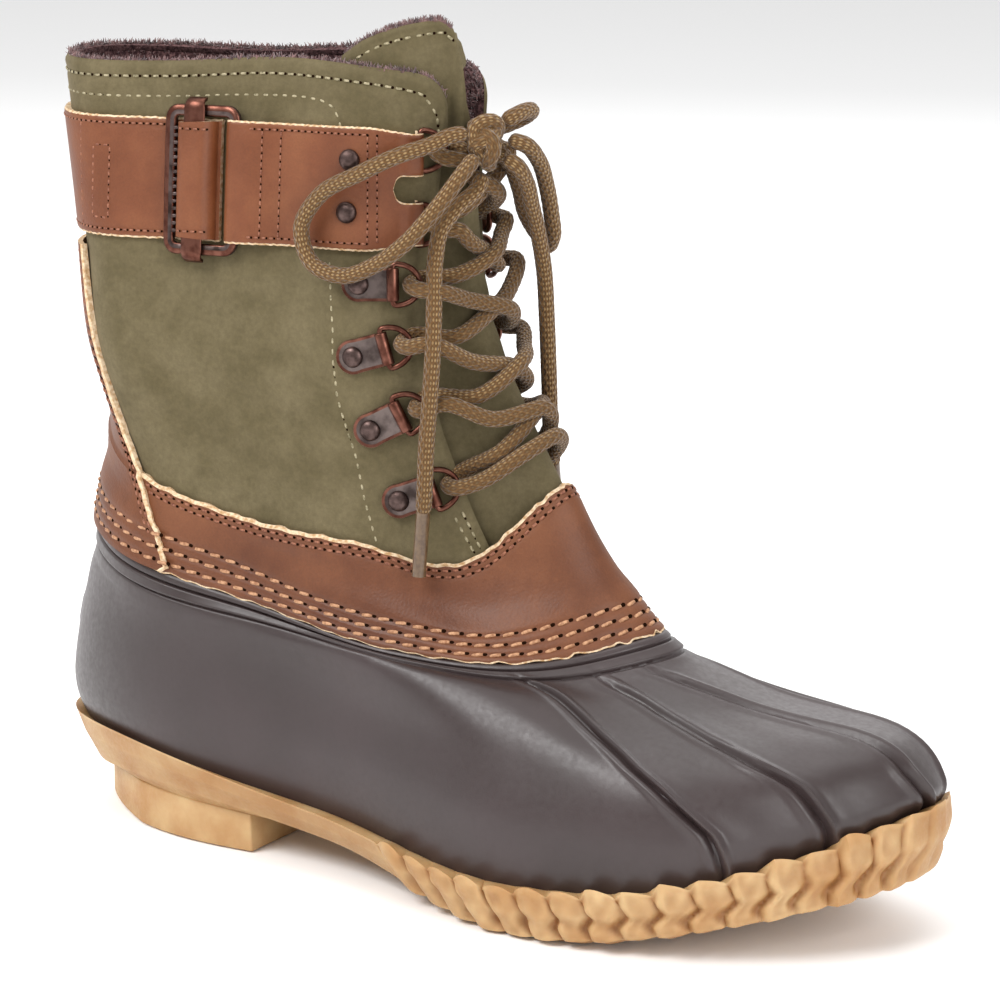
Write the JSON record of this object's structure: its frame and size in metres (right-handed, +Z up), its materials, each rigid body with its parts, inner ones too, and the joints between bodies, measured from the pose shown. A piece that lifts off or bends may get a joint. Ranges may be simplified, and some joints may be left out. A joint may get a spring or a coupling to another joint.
{
  "type": "duck boot",
  "caption": "Lace-up duck boot for the right foot: rubber shell, leather panel, nubuck shaft, buckled strap and a tied bow.",
  "frame": {"origin": "middle of the heel block's flat underside", "axes": "+X to the toe, +Y to the inner side, +Z up"},
  "size_m": [0.2896, 0.1029, 0.2484],
  "materials": {
    "gum_rubber": "satin",
    "shell_rubber": "satin",
    "leather": "satin",
    "nubuck": "matte",
    "lining": "matte",
    "copper": "satin",
    "dark_metal": "satin",
    "lace": "matte"
  },
  "bodies": {
    "root": {"outsole": "gum_rubber", "heel_block": "gum_rubber", "insole": "lining", "rubber_shell": "shell_rubber", "leather_panel": "leather", "backstay": "leather", "shaft": "nubuck", "tongue": "nubuck", "strap_wrap": "leather", "strap_front": "leather", "strap_loop": "leather", "buckle_frame": "dark_metal", "buckle_slider": "copper", "ring_clip_outer_1": "dark_metal", "ring_clip_outer_2": "dark_metal", "ring_clip_outer_3": "dark_metal", "ring_clip_outer_4": "dark_metal", "ring_clip_inner_1": "dark_metal", "ring_clip_inner_2": "dark_metal", "ring_clip_inner_3": "dark_metal", "ring_clip_inner_4": "dark_metal", "clip_rivet_outer_1": "dark_metal", "clip_rivet_outer_2": "dark_metal", "clip_rivet_outer_3": "dark_metal", "clip_rivet_outer_4": "dark_metal", "clip_rivet_inner_1": "dark_metal", "clip_rivet_inner_2": "dark_metal", "clip_rivet_inner_3": "dark_metal", "clip_rivet_inner_4": "dark_metal", "lace_ring_outer_1": "copper", "lace_ring_outer_2": "copper", "lace_ring_outer_3": "copper", "lace_ring_outer_4": "copper", "lace_ring_outer_5": "copper", "lace_ring_outer_6": "copper", "lace_ring_inner_1": "copper", "lace_ring_inner_2": "copper", "lace_ring_inner_3": "copper", "lace_ring_inner_4": "copper", "lace_ring_inner_5": "copper", "lace_ring_inner_6": "copper", "strap_rivet_outer_1": "dark_metal", "strap_rivet_outer_2": "dark_metal", "lace_crossings": "lace", "lace_knot": "lace", "lace_loop_left": "lace", "lace_loop_right": "lace", "lace_loop_small": "lace", "lace_end_left": "lace", "lace_end_right": "lace"}
  },
  "joints": []
}
